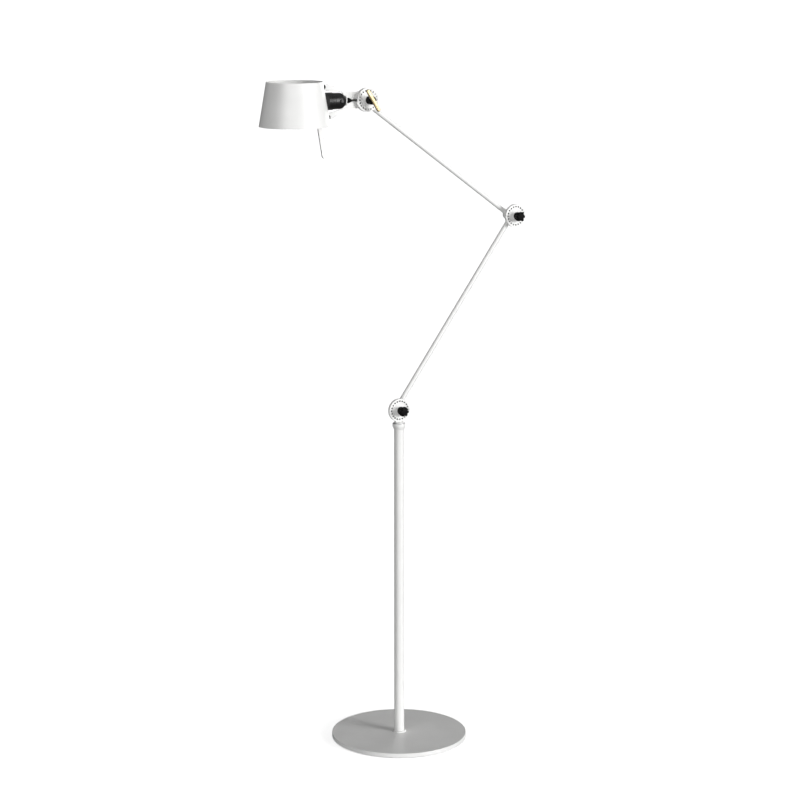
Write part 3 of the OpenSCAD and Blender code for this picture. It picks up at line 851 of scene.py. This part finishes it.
def build_gasket(bm):
    """The rubber ring between the lampholder's flange and the shade's wall, shaped to the cone."""
    low, high = span("holder_gasket")
    outer, seg = (high.z - low.z) / 2 - 0.2, 96
    corners = [(SKIRT_R, True), (outer, True), (outer, False), (SKIRT_R, False)]
    rows = [[], [], [], []]
    for k in range(seg):
        a = 2 * math.pi * k / seg
        for row, (r, far) in enumerate(corners):
            y, z = r * math.cos(a), r * math.sin(a)
            wall = wall_x(AXIS[2] + z) - SHADE[0]
            x = high.x - 0.02 if far else SHADE[0] + math.sqrt(wall**2 - y**2) + 0.02
            rows[row].append(bm.verts.new(Vector((x, AXIS[1] + y, AXIS[2] + z)) * MM))
    for i in range(4):
        low_row, high_row = rows[i], rows[(i + 1) % 4]
        for k in range(seg):
            nxt = (k + 1) % seg
            bm.faces.new((low_row[k], low_row[nxt], high_row[nxt], high_row[k]))


def build_ring(bm):
    low, high = span("holder_ring")
    r = (high.z - low.z) / 2

    def knurl(angle):
        return r - 0.35 + 0.35 * math.cos(36 * angle)

    levels = [(SKIRT_R, low.x), (r - 1.4, low.x), (knurl, low.x + 0.7), (knurl, high.x - 0.5),
              (r - 0.9, high.x), (SKIRT_R, high.x)]
    add_loft(bm, levels, "X", AXIS, seg=288, closed=True)


def build_shade(bm):
    z0, z1 = shade_low.z, shade_high.z
    profile = [(SHADE_LOW_R, z0, 0.5)]
    rings = 12
    for k in range(1, rings):
        profile.append((SHADE_LOW_R - (z1 - z0) * k / rings * shade_slope, z0 + (z1 - z0) * k / rings, 0))
    profile += [(SHADE_TOP_R, z1, 0.5), (SHADE_TOP_R - SHADE_WALL, z1, 0.5),
                (SHADE_LOW_R - SHADE_WALL, z0, 0.5)]
    add_turned(bm, profile, "Z", SHADE, closed=True, seg=192, steps=3)


def hole_along_x(radius, z):
    def build(bm):
        add_loft(bm, [(0, SHADE[0]), (radius, SHADE[0]), (radius, cap_low.x), (0, cap_low.x)],
                 "X", (0, AXIS[1], z), seg=64)
    return build


def build_carrier(bm):
    low, high = span("shade_carrier")
    y0, y1 = low.y - AXIS[1], high.y - AXIS[1]
    z0, z1 = low.z - AXIS[2], high.z - AXIS[2]
    up_z, low_z = bolt_heights()
    holes = [circle(SKIRT_R, seg=64)] + [circle(SHANK_R, 0, z - AXIS[2], 24) for z in (up_z, low_z)]
    add_plate(bm, box_loop(y0, z0, y1, z1, 5), holes, "X", AXIS, low.x, high.x, 0.5)


def bolt_heights():
    low, high = span("shade_bolts")
    return high.z - SCREW_R, low.z + SCREW_R


def build_shade_bolts(bm):
    low = span("shade_bolts")[0]
    for z in bolt_heights():
        head = wall_x(z) + TAB_OFF + SHEET
        end = head + SCREW_HEAD
        where = (0, AXIS[1], z)
        levels = rounded([(0, low.x), (2.0, low.x, 0.2), (SHANK_R, low.x + 0.6, 0.2), (SHANK_R, head, 0),
                          (SCREW_R, head, 0.2), (SCREW_R, end - 1.1, 0.9), (3.6, end, 0.5)], 0.2)
        levels += [(hexagon(4.1), end - 0.1), (hexagon(4.0), end - 0.4), (hexagon(4.0), end - 2.4),
                   (0, end - 2.7)]
        add_loft(bm, levels, "X", where, seg=48)


def build_shade_nuts(bm):
    low, high = span("shade_nuts")
    for z in bolt_heights():
        across = 7.96
        bore = SHANK_R + FIT
        levels = [(bore, low.x), (3.4, low.x), (hexagon(across), low.x + 0.5),
                  (hexagon(across), high.x - 0.2), (3.7, high.x), (bore, high.x)]
        add_loft(bm, levels, "X", (0, AXIS[1], z), seg=72, closed=True)


def build_spacers(bm):
    """Rubber sleeves on the shade bolts, outside and inside the wall, cut to the cone."""
    carrier = span("shade_carrier")[1].x
    seg = 48
    corners = [(SHANK_R, False), (SCREW_R, False), (SCREW_R, True), (SHANK_R, True)]
    for z in bolt_heights():
        for inside in (False, True):
            rows = [[], [], [], []]
            for k in range(seg):
                a = 2 * math.pi * k / seg
                for row, (r, at_wall) in enumerate(corners):
                    y, dz = r * math.cos(a), r * math.sin(a)
                    wall = wall_x(z + dz) - SHADE[0] - (SHADE_WALL if inside else 0)
                    x = SHADE[0] + math.sqrt(wall**2 - y**2)
                    if not at_wall:
                        x = carrier if inside else wall_x(z) + TAB_OFF
                    rows[row].append(bm.verts.new(Vector((x, AXIS[1] + y, z + dz)) * MM))
            for i in range(4):
                low_row, high_row = rows[i], rows[(i + 1) % 4]
                for k in range(seg):
                    nxt = (k + 1) % seg
                    bm.faces.new((low_row[k], low_row[nxt], high_row[nxt], high_row[k]))


def build_insert(bm):
    low, high = span("socket_insert")
    add_turned(bm, [(0, low.x + 3), (4.5, low.x + 3, 0), (4.5, low.x, 0.3), (17, low.x, 0.8),
                    (17, high.x, 0.5), (0, high.x)], "X", AXIS, 0.4)


def build_shell(bm):
    low, high = span("socket_shell")
    steps = 60

    def wave(k, r):
        return r - 0.25 * (1 + math.cos(2 * math.pi * k / 6))

    outer = [(wave(k, 14), low.x + (high.x - low.x) * k / steps) for k in range(steps + 1)]
    inner = [(r - 0.45, x) for r, x in outer[::-1]]
    add_loft(bm, outer + inner, "X", AXIS, seg=72, closed=True)


def build_contact(bm):
    low, high = span("socket_contact")
    add_turned(bm, [(0, low.x), (3.4, low.x, 1.2), (4.5, low.x + 1.2, 0.6), (4.5, high.x, 0.1), (0, high.x)],
               "X", AXIS, 0.4)


def build_bulb_cap(bm):
    low, high = span("bulb_cap")
    levels = [(0, low.x), (12.6, low.x)]
    steps = 54
    end = high.x - 3
    for k in range(steps + 1):
        x = low.x + 0.6 + (end - low.x - 1.4) * k / steps
        levels.append((12.85 - 0.35 * math.cos(2 * math.pi * k / 9), x))
    levels += [(10, end), (8.5, end + 0.8), (4.2, high.x - 0.2), (0, high.x)]
    add_loft(bm, levels, "X", AXIS, seg=72)


def build_bulb(bm):
    low, high = span("bulb_glass")
    r = (high.z - low.z) / 2
    middle = low.x + r
    dome = [(r * math.sin(math.radians(a)), middle - r * math.cos(math.radians(a))) for a in range(0, 120, 5)]
    neck = rounded([dome[-1], (15.5, high.x - 9, 6), (14, high.x, 1)], 4)
    inner = [(12.5, high.x), (12.5, high.x - 3), (0, high.x - 3)]
    add_loft(bm, dome + neck[1:] + inner, "X", AXIS, seg=96)


def build_handle(bm):
    low, high = span("handle_strip")
    lean = math.atan(shade_slope)
    foot = Vector((wall_x(shade_low.z) - 19.6, shade_low.z))
    along = Vector((-math.sin(lean), math.cos(lean)))
    across = Vector((math.cos(lean), math.sin(lean)))
    half = HANDLE_HALF
    drop = half - HANDLE_DROP
    top = high.z - 1.5
    outline = []
    for u, v in arc(0, drop, half, 180, 360, 20):
        p = foot + across * u + along * v
        outline.append((p.x, p.y))
    for u in (half, -half):
        start = foot + across * u
        t = (top - start.y) / along.y
        p = start + along * t
        outline.append((p.x, p.y))
    # the strip's edge all round takes the darker zinc steel as painted shade
    add_plate(bm, outline, [], "Y", O, low.y, high.y, 0.4, painted_shade_from=-1)


piece("head_hub_body", build_hub, "head_hub")
piece("head_frame", build_bracket, "head_bracket")
piece("gland_body", build_gland, "cable_gland")
piece("nipple_tube", build_nipple, "cable_nipple")
piece("head_lead", build_cable, "head_cable")
piece("lampholder_cap", build_cap, "holder_cap")
piece("lampholder_skirt", build_body, "holder_body")
piece("lamp_button", build_button, "switch_button")
piece("shade_gasket", build_gasket, "holder_gasket")
piece("lampholder_ring", build_ring, "holder_ring")
shade = piece("shade_cone", build_shade, "lamp_shade")
drill(shade, [hole_along_x(SKIRT_R, AXIS[2])] + [hole_along_x(SHANK_R + 0.1, z) for z in bolt_heights()])
piece("carrier_plate", build_carrier, "shade_carrier")
piece("shade_screws", build_shade_bolts, "shade_bolts")
piece("shade_screw_nuts", build_shade_nuts, "shade_nuts")
piece("shade_sleeves", build_spacers, "shade_spacers")
piece("socket_ceramic", build_insert, "socket_insert")
piece("socket_thread", build_shell, "socket_shell")
piece("socket_spring", build_contact, "socket_contact")
piece("bulb_thread", build_bulb_cap, "bulb_cap")
piece("bulb_envelope", build_bulb, "bulb_glass")
# the second material darkens the handle's edge: painted shade
piece("shade_handle", build_handle, "handle_strip", second="zinc_steel")

# ---------- CAD nodes kept as they are ----------

for node, obj in frame["nodes"].items():
    if not obj.hide_render:
        obj.data.materials.clear()
        obj.data.materials.append(FINISH[RECORD_SLOT[node]])
        bevel = obj.modifiers.new("soft_edges", "BEVEL")
        bevel.width, bevel.segments, bevel.limit_method = 0.0002, 2, "ANGLE"

# ---------- floor and light ----------

FLOOR_HALF = 80.0
floor_mesh = bpy.data.meshes.new("floor")
corners = [(-FLOOR_HALF, -FLOOR_HALF, 0), (FLOOR_HALF, -FLOOR_HALF, 0), (FLOOR_HALF, FLOOR_HALF, 0),
           (-FLOOR_HALF, FLOOR_HALF, 0)]
floor_mesh.from_pydata(corners, [], [(0, 1, 2, 3)])
floor = bpy.data.objects.new("floor", floor_mesh)
scene.collection.objects.link(floor)
floor.location.z = -0.0005
floor.visible_diffuse = False
floor.visible_glossy = False
floor.visible_shadow = False
floor_nodes = Nodes("floor_paper")
floor_nodes.link(floor_nodes.ramp(floor_nodes.noise(3, 2), (0.93, 0.93, 0.93), (0.95, 0.95, 0.95)),
                 floor_nodes.shader.inputs["Base Color"])
floor_nodes.shader.inputs["Roughness"].default_value = 0.9
floor_nodes.shader.inputs["Specular IOR Level"].default_value = 0.1
floor_nodes.shader.inputs["Emission Color"].default_value = (1, 1, 1, 1)
floor_nodes.shader.inputs["Emission Strength"].default_value = 0.66
floor_mesh.materials.append(floor_nodes.material)


LIGHT_TURN = -29.2  # the camera's direction, from which the lights are turned


def soft_light(name, turn, up, power, spread):
    """A soft light from afar. turn is degrees to the right of the camera, up is degrees above the floor."""
    data = bpy.data.lights.new(name, "SUN")
    data.energy, data.angle = power, math.radians(spread)
    light = bpy.data.objects.new(name, data)
    scene.collection.objects.link(light)
    a, e = math.radians(LIGHT_TURN + turn), math.radians(up)
    out = Vector((math.sin(a) * math.cos(e), -math.cos(a) * math.cos(e), math.sin(e)))
    light.location = out * 6
    light.rotation_euler = out.to_track_quat("Z", "Y").to_euler()


soft_light("front_light", -21, 3, 1.3, 40)
soft_light("key_light", 60, 10, 3.0, 28)
soft_light("back_light", 152, 6, 1.3, 36)
soft_light("bounce_light", -10, -40, 0.34, 60)
soft_light("top_light", 0, 88, 0.58, 70)

world = bpy.data.worlds.new("studio")
scene.world = world
world.use_nodes = True
tree = world.node_tree
room = tree.nodes["Background"]
room.inputs["Color"].default_value = (1, 1, 1, 1)
room.inputs["Strength"].default_value = 0.03
seen = tree.nodes.new("ShaderNodeLightPath")
mirrored = tree.nodes.new("ShaderNodeBackground")
mirrored.inputs["Strength"].default_value = 0.16
white = tree.nodes.new("ShaderNodeBackground")
white.inputs["Color"].default_value = (1, 1, 1, 1)
shown = room.outputs["Background"]
for other, ray in ((mirrored, "Is Glossy Ray"), (white, "Is Camera Ray")):
    pick = tree.nodes.new("ShaderNodeMixShader")
    tree.links.new(seen.outputs[ray], pick.inputs["Fac"])
    tree.links.new(shown, pick.inputs[1])
    tree.links.new(other.outputs["Background"], pick.inputs[2])
    shown = pick.outputs["Shader"]
tree.links.new(shown, tree.nodes["World Output"].inputs["Surface"])

scene.view_settings.view_transform = "Standard"
scene.view_settings.look = "None"
